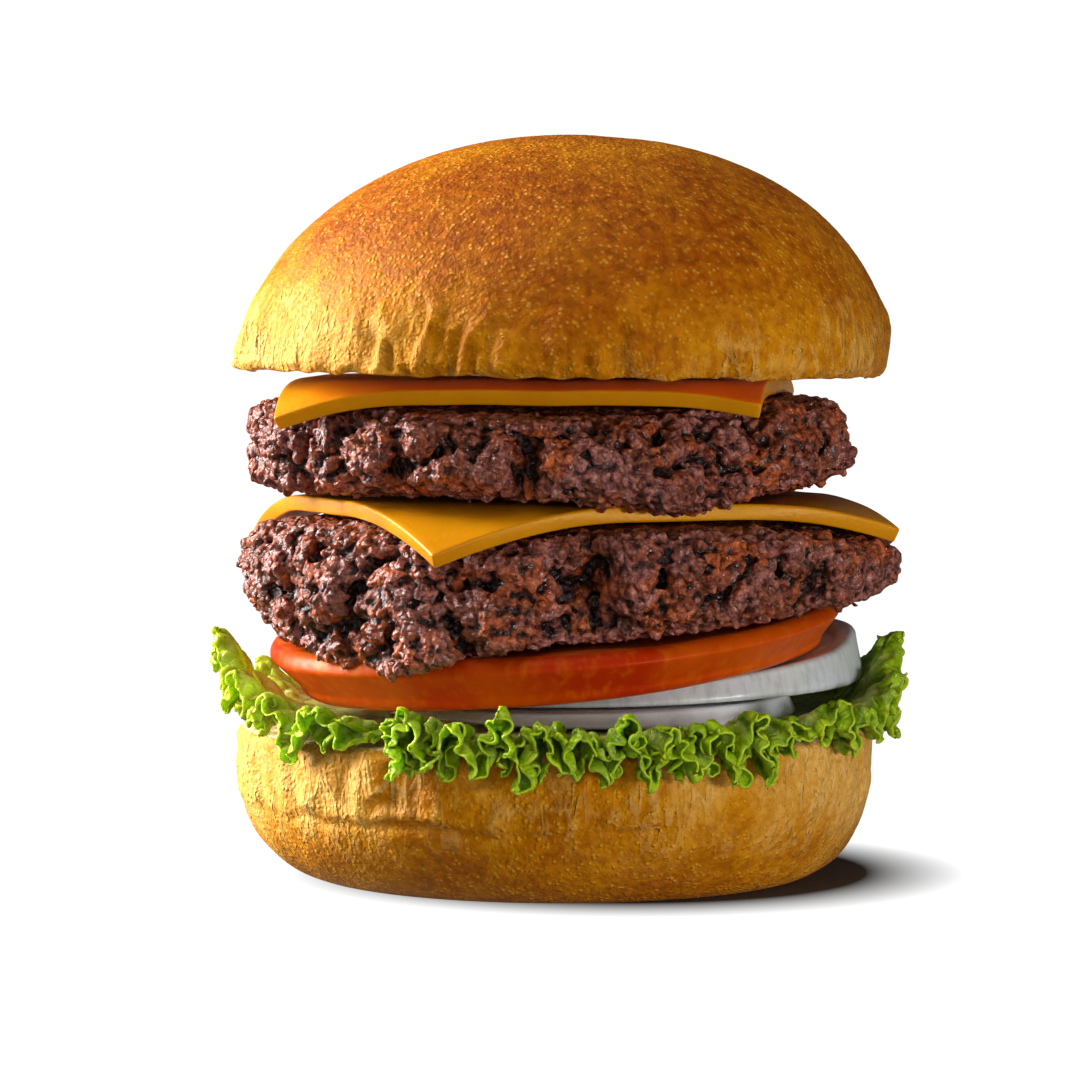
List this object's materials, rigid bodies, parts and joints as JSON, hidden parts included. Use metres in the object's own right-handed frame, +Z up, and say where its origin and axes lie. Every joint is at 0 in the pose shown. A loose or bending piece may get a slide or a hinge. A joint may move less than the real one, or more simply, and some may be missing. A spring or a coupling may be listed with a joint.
{
  "type": "double hamburger",
  "caption": "Double hamburger: craggy beef patties, square cheese slices, tomato, onion and frilly lettuce stacked between the halves of a domed round bun.",
  "frame": {"origin": "middle of the flat underside of the bottom bun", "axes": "+Z up through the stack, -Y towards the front, where the lettuce frills out most"},
  "size_m": [0.122, 0.1242, 0.1292],
  "materials": {
    "crust": "baked golden crust, satin",
    "meat": "seared, rough, with wet highlights",
    "cheese": "soft, smooth, satin",
    "tomato": "wet skin and flesh",
    "onion": "wet, slightly translucent white",
    "lettuce": "crisp, waxy leaf"
  },
  "bodies": {
    "root": {"top_bun": "crust", "bottom_bun": "crust", "patty_upper": "meat", "patty_lower": "meat", "cheese_upper": "cheese", "cheese_lower": "cheese", "tomato": "tomato", "onion_upper": "onion", "onion_lower": "onion", "lettuce_front": "lettuce", "lettuce_left": "lettuce", "lettuce_right": "lettuce", "lettuce_back": "lettuce"}
  },
  "joints": []
}
